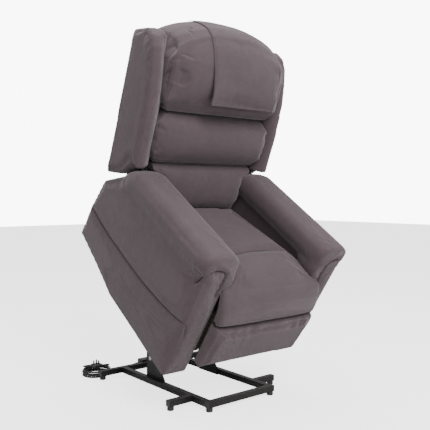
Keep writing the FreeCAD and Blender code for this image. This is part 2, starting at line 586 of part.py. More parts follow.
def check_all():
    """Every object has recomputed cleanly and every piece is a valid shape."""
    for item in doc.Objects:
        if "Invalid" in item.State or "Error" in item.State:
            raise RuntimeError("%s is %s" % (item.Label, item.State))
    for piece in pieces + cord_pieces:
        if piece.Shape.isNull() or not piece.Shape.isValid():
            raise RuntimeError("%s has no valid shape" % piece.Label)


check_all()
bounds = FreeCAD.BoundBox()
for piece in pieces:
    bounds.add(piece.Shape.BoundBox)
shift = FreeCAD.Placement(FreeCAD.Vector(-bounds.Center.x, -bounds.Center.y, -bounds.ZMin),
                          FreeCAD.Rotation())
for piece in pieces + cord_pieces:
    piece.Placement = shift.multiply(piece.Placement)
doc.recompute()
check_all()
print("origin moved by", tuple(round(number, 3) for number in shift.Base))
print("overall", [round(n, 1) for n in (bounds.XLength, bounds.YLength, bounds.ZLength)], "pieces",
      len(pieces))

os.makedirs("parts", exist_ok=True)
for piece in pieces + cord_pieces:
    piece.Shape.exportStep(os.path.join("parts", piece.Label + ".step"))
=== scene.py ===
"""Upholstery, mains lead, finishes and stage of a lift recliner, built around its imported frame."""
import json
import math

import bmesh
import bpy
import numpy as np
from bpy.props import FloatProperty, FloatVectorProperty, IntProperty, PointerProperty
from mathutils import Matrix, Vector
from mathutils.bvhtree import BVHTree


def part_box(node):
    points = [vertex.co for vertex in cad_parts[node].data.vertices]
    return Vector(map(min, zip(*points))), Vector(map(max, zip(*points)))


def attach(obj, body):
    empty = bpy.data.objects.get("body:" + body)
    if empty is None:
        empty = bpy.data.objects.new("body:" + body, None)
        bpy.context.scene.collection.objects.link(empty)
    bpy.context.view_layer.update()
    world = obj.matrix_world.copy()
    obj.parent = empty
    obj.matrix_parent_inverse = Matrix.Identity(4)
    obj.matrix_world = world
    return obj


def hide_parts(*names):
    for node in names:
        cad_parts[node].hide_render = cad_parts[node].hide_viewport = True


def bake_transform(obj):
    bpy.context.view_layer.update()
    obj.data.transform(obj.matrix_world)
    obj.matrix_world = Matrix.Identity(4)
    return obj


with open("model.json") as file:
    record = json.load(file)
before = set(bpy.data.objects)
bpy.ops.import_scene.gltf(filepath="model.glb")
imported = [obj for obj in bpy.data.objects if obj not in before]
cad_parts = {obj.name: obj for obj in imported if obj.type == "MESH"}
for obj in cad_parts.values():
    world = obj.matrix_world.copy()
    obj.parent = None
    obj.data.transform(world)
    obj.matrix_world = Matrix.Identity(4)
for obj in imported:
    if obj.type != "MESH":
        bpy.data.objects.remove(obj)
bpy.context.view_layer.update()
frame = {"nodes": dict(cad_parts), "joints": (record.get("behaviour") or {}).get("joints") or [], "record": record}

bl_info = {
    "name": "Lift recliner upholstery",
    "version": (1, 0, 0),
    "blender": (4, 5, 0),
    "location": "View3D > Sidebar > Recliner",
    "description": "Cushions, arms, wings, mains lead and finishes around a lift recliner's frame",
    "category": "Object",
}

JOINTS = {joint["name"]: joint for joint in frame["joints"]}
BACK_HINGE = Vector(JOINTS["recline"]["pos_m"])
KNEE = Vector(JOINTS["legrest_swing"]["pos_m"])

# The chair's own axes: y to the rear and z up when the seat is level, from the arms' lower front corner.
HINGE_YZ = (0.672, 0.288)
KNEE_YZ = (0.010, 0.384)
LEAN = math.radians(10.4)


def chair_matrix():
    """From the chair's own axes to the row frame."""
    tilt = math.atan2(BACK_HINGE.z - KNEE.z, BACK_HINGE.y - KNEE.y) - math.atan2(
        HINGE_YZ[1] - KNEE_YZ[1], HINGE_YZ[0] - KNEE_YZ[0])
    return (Matrix.Translation(KNEE) @ Matrix.Rotation(tilt, 4, "X")
            @ Matrix.Translation((0.0, -KNEE_YZ[0], -KNEE_YZ[1])))


CHAIR = chair_matrix()
# The back's own axes: z up along the leaning back, from the recline hinge.
BACK = CHAIR @ Matrix.Translation((0.0, *HINGE_YZ)) @ Matrix.Rotation(-LEAN, 4, "X")


# ---------------------------------------------------------------- sizes and colours
class ReclinerSizes(bpy.types.PropertyGroup):
    pressure: FloatProperty(name="Filling pressure",
                            description="How hard the filling pushes on the covers",
                            default=6.0, min=0.0, max=20.0)
    back_swell: FloatProperty(name="Back cushion swell",
                              description="Furthest that a back cushion's cover moves out",
                              default=0.026, unit="LENGTH")
    seat_swell: FloatProperty(name="Seat swell", description="Furthest that the seat's cover moves out",
                              default=0.022, unit="LENGTH")
    side_swell: FloatProperty(name="Arm and wing swell",
                              description="Furthest that an arm's or a wing's cover moves out",
                              default=0.008, unit="LENGTH")
    seam_width: FloatProperty(name="Seam width", description="Half the width of a sewn seam's groove",
                              default=0.0042, unit="LENGTH")
    cover_thickness: FloatProperty(name="Headrest cover thickness",
                                   description="Thickness of the loose headrest cover",
                                   default=0.003, unit="LENGTH")
    lead_diameter: FloatProperty(name="Lead diameter", description="Diameter of the mains lead",
                                 default=0.007, unit="LENGTH")
    fill_steps: IntProperty(name="Filling steps",
                            description="Steps of the simulation that fills a cushion",
                            default=20, min=1, max=60)


class ReclinerColours(bpy.types.PropertyGroup):
    fabric: FloatVectorProperty(name="Fabric", description="Brushed mauve-grey cover fabric",
                                subtype="COLOR",
                                size=3, default=(0.055, 0.040, 0.045), min=0.0, max=1.0)
    fabric_light: FloatVectorProperty(name="Fabric nap",
                                      description="Fabric where the nap catches the light",
                                      subtype="COLOR", size=3, default=(0.079, 0.058, 0.065), min=0.0,
                                      max=1.0)
    steel: FloatVectorProperty(name="Steel paint", description="Satin black paint of the lift frame",
                               subtype="COLOR",
                               size=3, default=(0.013, 0.011, 0.011), min=0.0, max=1.0)
    floor: FloatVectorProperty(name="Floor", description="Pale floor", subtype="COLOR",
                               size=3, default=(0.70, 0.70, 0.70), min=0.0, max=1.0)


# ---------------------------------------------------------------- objects and meshes
def deselect():
    for item in bpy.context.selected_objects:
        item.select_set(False)


def activate(piece):
    deselect()
    piece.select_set(True)
    bpy.context.view_layer.objects.active = piece


def object_of(name, mesh):
    piece = bpy.data.objects.new(name, mesh)
    bpy.context.scene.collection.objects.link(piece)
    return piece


def apply_modifier(piece, kind, **settings):
    modifier = piece.modifiers.new(kind.title(), kind)
    for key, value in settings.items():
        setattr(modifier, key, value)
    activate(piece)
    bpy.ops.object.modifier_apply(modifier=modifier.name)


def shell(name, rings):
    """A closed mesh from rings of points, all with the same number of points, closed at both ends."""
    mesh = bmesh.new()
    rows = [[mesh.verts.new(point) for point in ring] for ring in rings]
    for row, following in zip(rows, rows[1:]):
        for i in range(len(row)):
            j = (i + 1) % len(row)
            mesh.faces.new((row[i], row[j], following[j], following[i]))
    mesh.faces.new(rows[0])
    mesh.faces.new(rows[-1])
    bmesh.ops.recalc_face_normals(mesh, faces=mesh.faces)
    data = bpy.data.meshes.new(name)
    mesh.to_mesh(data)
    mesh.free()
    return object_of(name, data)


def slab(name, outline, low, high):
    """An outline in the chair's y and z, pulled from one x to another."""
    return shell(name, [[(x, y, z) for y, z in outline] for x in (low, high)])


def cad_copy(name, node, axes):
    """A CAD solid's mesh, merged and turned into the given axes."""
    data = frame["nodes"][node].data.copy()
    piece = object_of(name, data)
    data.materials.clear()
    mesh = bmesh.new()
    mesh.from_mesh(data)
    bmesh.ops.remove_doubles(mesh, verts=mesh.verts, dist=1e-5)
    mesh.transform(axes.inverted())
    mesh.to_mesh(data)
    mesh.free()
    return piece


def union(name, parts, voxel):
    """Several closed shapes as one skin."""
    activate(parts[0])
    for part in parts:
        part.select_set(True)
    if len(parts) > 1:
        bpy.ops.object.join()
    piece = bpy.context.view_layer.objects.active
    piece.name = name
    piece.data.name = name
    apply_modifier(piece, "REMESH", mode="VOXEL", voxel_size=voxel, adaptivity=0.0)
    return piece


def points_of(piece):
    co = np.empty(len(piece.data.vertices) * 3, np.float64)
    piece.data.vertices.foreach_get("co", co)
    return co.reshape(-1, 3)


def normals_of(piece):
    no = np.empty(len(piece.data.vertices) * 3, np.float32)
    piece.data.vertex_normals.foreach_get("vector", no)
    return no.reshape(-1, 3).astype(np.float64)


def set_points(piece, co):
    piece.data.vertices.foreach_set("co", np.ascontiguousarray(co, np.float64).ravel())
    piece.data.update()


def warp(piece, change):
    """Moves every point by a function of its place."""
    set_points(piece, change(points_of(piece).copy()))


def nearest(co, line):
    """Distance to a line of points, and how far along it the nearest place is."""
    best = np.full(len(co), np.inf)
    along = np.zeros(len(co))
    start = 0.0
    for a, b in zip(line, line[1:]):
        a, b = np.array(a, float), np.array(b, float)
        step = b - a
        share = np.clip((co - a) @ step / (step @ step), 0.0, 1.0)
        distance = np.linalg.norm(co - a - share[:, None] * step, axis=1)
        closer = distance < best
        best[closer] = distance[closer]
        along[closer] = start + share[closer] * np.linalg.norm(step)
        start += np.linalg.norm(step)
    return best, along


def fill(piece, cap, pins=(), held=None):
    """Fills a cushion: its cover swells under pressure, held along its seams and where it rests, and no
    point moves further than the cap."""
    sizes = bpy.context.scene.recliner_sizes
    rest = points_of(piece)
    limit = np.full(len(rest), cap)
    for line in pins:
        distance, _ = nearest(rest, line)
        limit *= np.clip((distance - 0.004) / 0.035, 0.0, 1.0) ** 0.6
    if held is not None:
        limit *= np.clip(held(rest), 0.0, 1.0)
    weights = piece.vertex_groups.new(name="held")
    for index in np.nonzero(limit < 0.0006)[0]:
        weights.add([int(index)], 1.0, "REPLACE")
    cloth = piece.modifiers.new("Cloth", "CLOTH")
    cloth.settings.quality = 4
    cloth.settings.mass = 0.25
    cloth.settings.tension_stiffness = 12.0
    cloth.settings.compression_stiffness = 12.0
    cloth.settings.shear_stiffness = 6.0
    cloth.settings.bending_stiffness = 0.6
    cloth.settings.use_pressure = True
    cloth.settings.uniform_pressure_force = sizes.pressure
    cloth.settings.effector_weights.gravity = 0.0
    cloth.settings.vertex_group_mass = "held"
    cloth.point_cache.frame_start = 1
    cloth.point_cache.frame_end = sizes.fill_steps
    scene = bpy.context.scene
    for step in range(1, sizes.fill_steps + 1):
        scene.frame_set(step)
    filled = piece.evaluated_get(bpy.context.evaluated_depsgraph_get())
    co = np.empty(len(rest) * 3, np.float64)
    filled.data.vertices.foreach_get("co", co)
    move = co.reshape(-1, 3) - rest
    piece.modifiers.remove(cloth)
    piece.vertex_groups.remove(weights)
    scene.frame_set(1)
    normals = normals_of(piece)
    inward = np.minimum(0.0, (move * normals).sum(1) + 0.0015)
    move -= normals * inward[:, None]
    length = np.linalg.norm(move, axis=1)
    move *= (np.minimum(length, limit) / np.maximum(length, 1e-9))[:, None]
    set_points(piece, rest + move)


def soften(piece, rounds, factor=0.5):
    apply_modifier(piece, "SMOOTH", factor=factor, iterations=rounds)


def sew(piece, seams):
    """Sewn seams: a groove along each line, small gathers beside it, and a mask of painted shade along the
    groove, kept in the seam attribute. A seam is (line, depth, gathers)."""
    sizes = bpy.context.scene.recliner_sizes
    co, normals = points_of(piece), normals_of(piece)
    seam_shade = np.zeros(len(co))
    move = np.zeros(len(co))
    for line, depth, gathers in seams:
        distance, along = nearest(co, line)
        groove = np.exp(-(distance / sizes.seam_width) ** 2)
        move -= depth * groove
        ripple = np.sin(along * 290.0 + 2.0 * np.sin(along * 71.0)) + 0.6 * np.sin(along * 163.0 + 1.3)
        fade = np.exp(-distance / 0.016) * (1.0 - groove)
        move += gathers * ripple * fade
        # Painted shade: a dark line along the groove, which the fabric's colour takes from the seam attribute.
        seam_shade = np.maximum(seam_shade, np.exp(-(distance / (0.55 * sizes.seam_width)) ** 2))
    set_points(piece, co + normals * move[:, None])
    seam = piece.data.attributes.get("seam") or piece.data.attributes.new("seam", "FLOAT", "POINT")
    seam.data.foreach_set("value", seam_shade.astype(np.float32))


def divide(piece):
    apply_modifier(piece, "SUBSURF", levels=1, render_levels=1)


def place(piece, axes, body, nodes, material, slot="upholstery", filling=0.7):
    """Puts a finished piece where it belongs, with its place in its mesh."""
    piece.data.transform(axes)
    piece.data.update()
    piece.data.materials.clear()
    piece.data.materials.append(material)
    piece.data.polygons.foreach_set("use_smooth", [True] * len(piece.data.polygons))
    if body:
        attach(piece, body)
    if nodes:
        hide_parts(*nodes)
    return piece


def mirrored(piece, name):
    """The same piece for the other side of the chair, in its own mesh."""
    data = piece.data.copy()
    twin = object_of(name, data)
    mesh = bmesh.new()
    mesh.from_mesh(data)
    mesh.transform(Matrix.Scale(-1.0, 4, (1.0, 0.0, 0.0)))
    bmesh.ops.reverse_faces(mesh, faces=mesh.faces)
    mesh.to_mesh(data)
    mesh.free()
    return twin


# ---------------------------------------------------------------- finishes
class Finish:
    """A procedural material being built: its nodes and the shader's sockets."""

    def __init__(self, name, **numbers):
        self.material = bpy.data.materials.new(name)
        self.material.use_nodes = True
        self.tree = self.material.node_tree
        self.shader = self.tree.nodes["Principled BSDF"]
        self.place = self.node("ShaderNodeTexCoord").outputs["Object"]
        for key, value in numbers.items():
            self.shader.inputs[key.replace("_", " ")].default_value = value

    def node(self, kind, **settings):
        node = self.tree.nodes.new(kind)
        for key, value in settings.items():
            setattr(node, key, value)
        return node

    def link(self, output, socket):
        self.tree.links.new(output, socket)

    def noise(self, scale, detail=2.0, roughness=0.5, stretch=None, distortion=0.0):
        noise = self.node("ShaderNodeTexNoise")
        noise.inputs["Scale"].default_value = scale
        noise.inputs["Detail"].default_value = detail
        noise.inputs["Roughness"].default_value = roughness
        noise.inputs["Distortion"].default_value = distortion
        place = self.place
        if stretch:
            mapping = self.node("ShaderNodeMapping")
            mapping.inputs["Scale"].default_value = stretch
            self.link(place, mapping.inputs["Vector"])
            place = mapping.outputs["Vector"]
        self.link(place, noise.inputs["Vector"])
        return noise.outputs["Fac"]

    def bands(self, scale, direction="X", distortion=0.0, stretch=None):
        wave = self.node("ShaderNodeTexWave", wave_type="BANDS", bands_direction=direction)
        wave.inputs["Scale"].default_value = scale
        wave.inputs["Distortion"].default_value = distortion
        place = self.place
        if stretch:
            mapping = self.node("ShaderNodeMapping")
            mapping.inputs["Scale"].default_value = stretch
            self.link(place, mapping.inputs["Vector"])
            place = mapping.outputs["Vector"]
        self.link(place, wave.inputs["Vector"])
        return wave.outputs["Fac"]

    def math(self, operation, first, second, clamp=False):
        node = self.node("ShaderNodeMath", operation=operation, use_clamp=clamp)
        for socket, value in zip(node.inputs, (first, second)):
            if isinstance(value, (int, float)):
                socket.default_value = value
            else:
                self.link(value, socket)
        return node.outputs[0]

    def span(self, value, low, high, to_low, to_high):
        node = self.node("ShaderNodeMapRange")
        for key, number in (("From Min", low), ("From Max", high), ("To Min", to_low), ("To Max", to_high)):
            node.inputs[key].default_value = number
        self.link(value, node.inputs["Value"])
        return node.outputs["Result"]

    def mix(self, share, first, second):
        node = self.node("ShaderNodeMix", data_type="RGBA")
        for socket, value in ((node.inputs[0], share), (node.inputs[6], first), (node.inputs[7], second)):
            if isinstance(value, (int, float)):
                socket.default_value = value
            elif isinstance(value, (tuple, list)):
                socket.default_value = (*value[:3], 1.0)
            else:
                self.link(value, socket)
        return node.outputs[2]

    def bump(self, height, distance, strength=1.0, below=None):
        node = self.node("ShaderNodeBump")
        node.inputs["Distance"].default_value = distance
        node.inputs["Strength"].default_value = strength
        self.link(height, node.inputs["Height"])
        if below is not None:
            self.link(below, node.inputs["Normal"])
        return node.outputs["Normal"]

    def done(self, colour=None, rough=None, normal=None):
        for output, key in ((colour, "Base Color"), (rough, "Roughness"), (normal, "Normal")):
            if output is not None:
                self.link(output, self.shader.inputs[key])
        return self.material


def scaled(colour, share):
    return tuple(channel * share for channel in colour)


def fabric_finish():
    """Brushed upholstery cloth: a fine woven ground under a short nap that lies in soft patches, with painted
    shade along its seams.
    """
    colours = bpy.context.scene.recliner_colours
    finish = Finish("Brushed fabric", Sheen_Weight=0.35, Sheen_Roughness=0.45,
                    Sheen_Tint=(0.93, 0.86, 0.88, 1.0),
                    Specular_IOR_Level=0.18)
    patches = finish.noise(7.0, detail=3.0, roughness=0.55)
    nap = finish.noise(46.0, detail=3.0, roughness=0.6)
    grain = finish.noise(430.0, detail=2.0, roughness=0.7)
    threads = finish.math("MULTIPLY", finish.bands(330.0, "X", 1.2), finish.bands(330.0, "Z", 1.2))
    cover = finish.math("ADD", finish.math("MULTIPLY", patches, 0.45), finish.math("MULTIPLY", nap, 0.55))
    share = finish.span(cover, 0.34, 0.66, 0.0, 1.0)
    colour = finish.mix(share, tuple(colours.fabric), tuple(colours.fabric_light))
    speck = finish.span(grain, 0.30, 0.72, 0.0, 1.0)
    colour = finish.mix(finish.math("MULTIPLY", speck, 0.45), colour, scaled(colours.fabric_light, 1.28))
    # Painted shade: the cloth darkens to near black along the seam attribute, standing in for the shade inside
    # seam grooves, pleats, creases and hems.
    seam = finish.node("ShaderNodeAttribute", attribute_name="seam")
    shade = finish.math("MULTIPLY", seam.outputs["Fac"], 0.80, clamp=True)
    colour = finish.mix(shade, colour, scaled(colours.fabric, 0.12))
    height = finish.math("ADD", finish.math("MULTIPLY", grain, 0.8), finish.math("MULTIPLY", threads, 0.5))
    rumple = finish.bump(finish.noise(21.0, detail=2.0), 0.0035, 0.5)
    normal = finish.bump(height, 0.0007, 0.75, rumple)
    rough = finish.span(nap, 0.3, 0.7, 0.78, 0.95)
    return finish.done(colour, rough, normal)


def painted_steel():
    colours = bpy.context.scene.recliner_colours
    finish = Finish("Satin black paint", Coat_Weight=0.12, Coat_Roughness=0.32, Specular_IOR_Level=0.32)
    dust = finish.span(finish.noise(38.0, detail=4.0), 0.45, 0.75, 0.0, 0.35)
    colour = finish.mix(dust, tuple(colours.steel), scaled(colours.steel, 2.6))
    rough = finish.span(finish.noise(90.0, detail=3.0), 0.3, 0.7, 0.34, 0.50)
    return finish.done(colour, rough, finish.bump(finish.noise(900.0, detail=1.0), 0.0002, 0.5))


def plain_finish(name, colour, rough, grain, depth, **numbers):
    """A moulded or plated finish: a colour that varies a little, and a fine grain."""
    finish = Finish(name, **numbers)
    tone = finish.mix(finish.span(finish.noise(60.0, detail=3.0), 0.35, 0.7, 0.0, 1.0),
                      scaled(colour, 0.85),
                      scaled(colour, 1.2))
    roughness = finish.span(finish.noise(140.0, detail=2.0), 0.3, 0.7, rough - 0.06, rough + 0.06)
    return finish.done(tone, roughness, finish.bump(finish.noise(grain, detail=2.0), depth, 0.6))


def plywood():
    finish = Finish("Plywood darkened as painted shade", Specular_IOR_Level=0.3)
    rings = finish.bands(9.0, "Z", 5.0, (1.0, 0.25, 2.0))
    fibre = finish.noise(160.0, detail=3.0, stretch=(0.12, 1.0, 1.0))
    # Painted shade: the plywood is near black, standing in for the shade inside the frame seen in the gaps between
    # the arms, seat and legrest; the rings and fibre are the wood's own grain.
    colour = finish.mix(rings, (0.040, 0.032, 0.028), (0.065, 0.052, 0.044))
    colour = finish.mix(finish.math("MULTIPLY", fibre, 0.5), colour, (0.028, 0.022, 0.019))
    return finish.done(colour, finish.span(fibre, 0.3, 0.7, 0.62, 0.8), finish.bump(fibre, 0.0005, 0.6))


def woven_straps():
    finish = Finish("Woven webbing", Specular_IOR_Level=0.2)
    weave = finish.math("MULTIPLY", finish.bands(150.0, "X"), finish.bands(150.0, "Y"))
    colour = finish.mix(weave, (0.05, 0.05, 0.052), (0.13, 0.13, 0.13))
    return finish.done(colour, finish.span(weave, 0.0, 1.0, 0.9, 0.75), finish.bump(weave, 0.0008))


def ground_steel():
    finish = Finish("Ground steel", Metallic=1.0, Anisotropic=0.4)
    lines = finish.noise(700.0, detail=2.0, stretch=(0.05, 1.0, 1.0))
    colour = finish.mix(lines, (0.60, 0.60, 0.60), (0.78, 0.78, 0.77))
    return finish.done(colour, finish.span(lines, 0.3, 0.7, 0.2, 0.34), finish.bump(lines, 0.0001, 0.4))


def finishes():
    """One material for each of the record's slots."""
    if "Brushed fabric" not in bpy.data.materials:
        fabric_finish()
        painted_steel()
        plywood()
        woven_straps()
        ground_steel()
        plain_finish("Moulded black plastic", (0.030, 0.030, 0.032), 0.45, 1100.0, 0.0002)
        plain_finish("Grey button plastic", (0.35, 0.35, 0.36), 0.40, 1300.0, 0.0001)
        plain_finish("Foot rubber", (0.028, 0.027, 0.027), 0.80, 500.0, 0.0004)
        plain_finish("Lead rubber", (0.022, 0.022, 0.024), 0.55, 800.0, 0.0002)
        plain_finish("Zinc plating", (0.56, 0.56, 0.54), 0.36, 420.0, 0.0002, Metallic=1.0)
        plain_finish("Motor enamel", (0.040, 0.040, 0.042), 0.42, 700.0, 0.0002, Coat_Weight=0.2)
    return {
        "upholstery": "Brushed fabric", "black_steel": "Satin black paint",
        "frame_wood": "Plywood darkened as painted shade",
        "webbing": "Woven webbing", "bright_steel": "Ground steel",
        "black_plastic": "Moulded black plastic",
        "button_grey": "Grey button plastic", "foot_rubber": "Foot rubber", "lead_rubber": "Lead rubber",
        "zinc_steel": "Zinc plating", "motor_can": "Motor enamel",
    }


def finish_of(slot):
    return bpy.data.materials[finishes()[slot]]


# ---------------------------------------------------------------- stage
class RECLINER_OT_stage(bpy.types.Operator):
    """Add the camera, the pale floor and the soft studio light"""
    bl_idname = "recliner.stage"
    bl_label = "Stage"

    def execute(self, context):
        low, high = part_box("front_cross_tube")
        camera = bpy.data.cameras.new("Camera")
        camera.sensor_width = 36.0
        camera.lens = 52.63
        eye = object_of("Camera", camera)
        eye.location = ((low.x + high.x) / 2 - 1.7213, low.y - 1.919, 0.8602)
        eye.rotation_euler = (math.radians(88.23), 0.0, math.radians(-39.33))
        context.scene.camera = eye

        deselect()
        bpy.ops.mesh.primitive_plane_add(size=30.0, location=(0.0, 0.0, -0.0006))
        floor = context.object
        floor.name = "Floor"
        floor.data.transform(floor.matrix_world)
        floor.matrix_world = Matrix.Identity(4)
        finish = Finish("Pale floor", Emission_Color=(1.0, 1.0, 1.0, 1.0))
        seen = finish.node("ShaderNodeLightPath").outputs["Is Camera Ray"]
        finish.link(finish.math("MULTIPLY", seen, 2.4), finish.shader.inputs["Emission Strength"])
        tone = tuple(context.scene.recliner_colours.floor)
        colour = finish.mix(finish.noise(2.0, detail=2.0), scaled(tone, 0.98), tone)
        floor.data.materials.append(finish.done(colour, finish.span(finish.noise(5.0), 0.0, 1.0, 0.7, 0.8)))

        for name, place, size, energy in (
                ("Key", (-0.9, -3.9, 3.7), 2.4, 290.0),
                ("Fill", (-3.4, -1.4, 2.2), 3.2, 14.0),
                ("Top", (0.0, 0.6, 4.2), 3.0, 110.0)):
            lamp = bpy.data.lights.new(name, "AREA")
            lamp.energy = energy
            lamp.size = size
            light = object_of(name, lamp)
            light.location = place
            towards = Vector((0.0, 0.0, 0.8)) - Vector(place)
            light.rotation_euler = towards.to_track_quat("-Z", "Y").to_euler()

        world = bpy.data.worlds.new("Studio")
        context.scene.world = world
        world.use_nodes = True
        nodes, links = world.node_tree.nodes, world.node_tree.links
        soft = nodes["Background"]
        soft.inputs["Color"].default_value = (1.0, 1.0, 1.0, 1.0)
        soft.inputs["Strength"].default_value = 0.50
        seen = nodes.new("ShaderNodeBackground")
        seen.inputs["Color"].default_value = (1.0, 1.0, 1.0, 1.0)
        seen.inputs["Strength"].default_value = 9.0
        path = nodes.new("ShaderNodeLightPath")
        choose = nodes.new("ShaderNodeMixShader")
        links.new(path.outputs["Is Camera Ray"], choose.inputs[0])
        links.new(soft.outputs[0], choose.inputs[1])
        links.new(seen.outputs[0], choose.inputs[2])
        links.new(choose.outputs[0], nodes["World Output"].inputs["Surface"])
        return {"FINISHED"}


# ---------------------------------------------------------------- mains lead
# The lead is laid out in the base's own axes; these move it to the row frame.
LEAD_X = BACK_HINGE.x
LEAD_Y = -0.247347
LEAD_ROUTE = [(-0.080, 0.708, 0.032), (-0.094, 0.708, 0.031), (-0.108, 0.7086, 0.026),
              (-0.121, 0.710, 0.018), (-0.135, 0.713, 0.010), (-0.150, 0.718, 0.005),
              (-0.166, 0.725, 0.0036), (-0.182, 0.735, 0.0036), (-0.194, 0.749, 0.0044)]
COIL_CENTRE = (-0.262, 0.762)
COIL_RADIUS, COIL_SPREAD, COIL_WANDER = 0.0695, 0.0140, 0.0012
COIL_START = math.radians(-10.8)
COIL_LAYERS, FLOOR_HEIGHT, LAYER_RISE, COIL_TOP = 4, 0.0040, 0.0077, 0.0285
# Each turn has this many points, and each layer of turns this many.
TURN_POINTS = 14
LAYER_POINTS = 22


def lead_points():
    """The lead's route along the floor, then its turns, laid in four layers."""
    points = [Vector(point) for point in LEAD_ROUTE]
    for i in range(1, COIL_LAYERS * LAYER_POINTS):
        layer, share = divmod(i / LAYER_POINTS, 1.0)
        inwards = share if layer % 2 == 0 else 1.0 - share
        radius = COIL_RADIUS - COIL_SPREAD * inwards + COIL_WANDER * math.sin(i * 0.9)
        height = FLOOR_HEIGHT + LAYER_RISE * (layer + max(0.0, (share - 0.82) / 0.18))
        turn = COIL_START + i * 2 * math.pi / TURN_POINTS
        points.append(Vector((COIL_CENTRE[0] + radius * math.cos(turn),
                              COIL_CENTRE[1] + radius * math.sin(turn),
                              min(height, COIL_TOP))))
    return points


class RECLINER_OT_mains_lead(bpy.types.Operator):
    """Lay the mains lead from its inlet along the floor into its coil and plug"""
    bl_idname = "recliner.mains_lead"
    bl_label = "Mains lead"

    def execute(self, context):
        sizes = context.scene.recliner_sizes
        points = lead_points()
        last = points[-1]
        centre = Vector((*COIL_CENTRE, 0.0))
        here = math.degrees(math.atan2(last.y - centre.y, last.x - centre.x))
        curve = bpy.data.curves.new("mains_lead_line", "CURVE")
        curve.dimensions = "3D"
        curve.resolution_u = 6
        curve.bevel_depth = sizes.lead_diameter / 2
        curve.bevel_resolution = 3
        curve.use_fill_caps = True
        spline = curve.splines.new("NURBS")
        for turn, radius, height in ((1, 0.068, 0.031), (2, 0.067, 0.0345), (3, 0.0655, 0.038)):
            angle = math.radians(here + turn * 360 / TURN_POINTS)
            points.append(centre + Vector((radius * math.cos(angle), radius * math.sin(angle), height)))
        entry = centre + Vector((0.026, 0.0, 0.0405))
        points += [centre + Vector(step) for step in
                   ((0.063, -0.018, 0.0400), (0.0605, -0.006, 0.0405), (0.052, 0.0, 0.0405),
                    (0.039, 0.0, 0.0405))]
        points.append(entry)
        spline.points.add(len(points) - 1)
        for target, point in zip(spline.points, points):
            target.co = (point.x + LEAD_X, point.y + LEAD_Y, point.z, 1.0)
        spline.order_u = 3
        spline.use_endpoint_u = True
        lead = object_of("mains_lead_cord", curve)
        curve.materials.append(finish_of("lead_rubber"))
        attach(lead, "base")
        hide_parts("mains_lead", "mains_lead_coil")
        return {"FINISHED"}


# ---------------------------------------------------------------- arms
ARM_SIDE = [(-0.002, -0.003), (0.240, 0.0), (0.487, -0.002), (0.660, 0.036), (0.842, 0.070),
            (0.831, 0.151), (0.824, 0.231), (0.784, 0.395), (0.663, 0.493), (0.300, 0.486),
            (-0.002, 0.486)]
ARM_INNER, ARM_OUTER = 0.2465, 0.361
ARM_SEAM_X = 0.362
ROLL_CENTRE = (0.292, 0.512)
LIP_CENTRE, LIP_SIZE = (0.240, 0.462), (0.028, 0.056)
ROLL_RING = [(0.362, 0.470), (0.371, 0.500), (0.376, 0.530), (0.372, 0.556), (0.350, 0.569),
             (0.292, 0.571), (0.244, 0.567), (0.222, 0.552), (0.214, 0.524), (0.216, 0.492),
             (0.238, 0.462), (0.300, 0.456)]
# How the arm's roll narrows to its ends: y, lift of the ring, share of its size
ROLL_STATIONS = [(-0.007, 0.0, 0.86), (0.001, 0.0, 0.95), (0.018, 0.0, 1.0), (0.200, 0.0, 1.0),
                 (0.400, 0.0, 1.0), (0.560, 0.0, 1.0), (0.606, -0.014, 0.98), (0.640, -0.042, 0.92),
                 (0.662, -0.072, 0.80)]
ARM_SEAM = [(0.801, 0.234), (0.700, 0.222), (0.615, 0.216), (0.407, 0.214), (0.290, 0.218),
            (0.176, 0.229), (0.080, 0.244), (0.012, 0.262)]


def arm_shape():
    side = slab("arm_side", ARM_SIDE, ARM_INNER, ARM_OUTER)
    rings = []
    for y, lift, share in ROLL_STATIONS:
        rings.append([(ROLL_CENTRE[0] + (x - ROLL_CENTRE[0]) * share, y,
                       ROLL_CENTRE[1] + (z - ROLL_CENTRE[1]) * share + lift) for x, z in ROLL_RING])
    roll = shell("arm_roll", rings)
    lip = []
    for y, share in ((-0.007, 0.80), (0.008, 1.0), (0.050, 1.0), (0.095, 0.7), (0.120, 0.3)):
        lip.append([(LIP_CENTRE[0] + LIP_SIZE[0] * share * math.cos(t), y,
                     LIP_CENTRE[1] + LIP_SIZE[1] * share * math.sin(t))
                    for t in (2 * math.pi * i / 12 for i in range(12))])
    return union("arm_skin", [side, roll, shell("arm_lip", lip)], 0.0078)


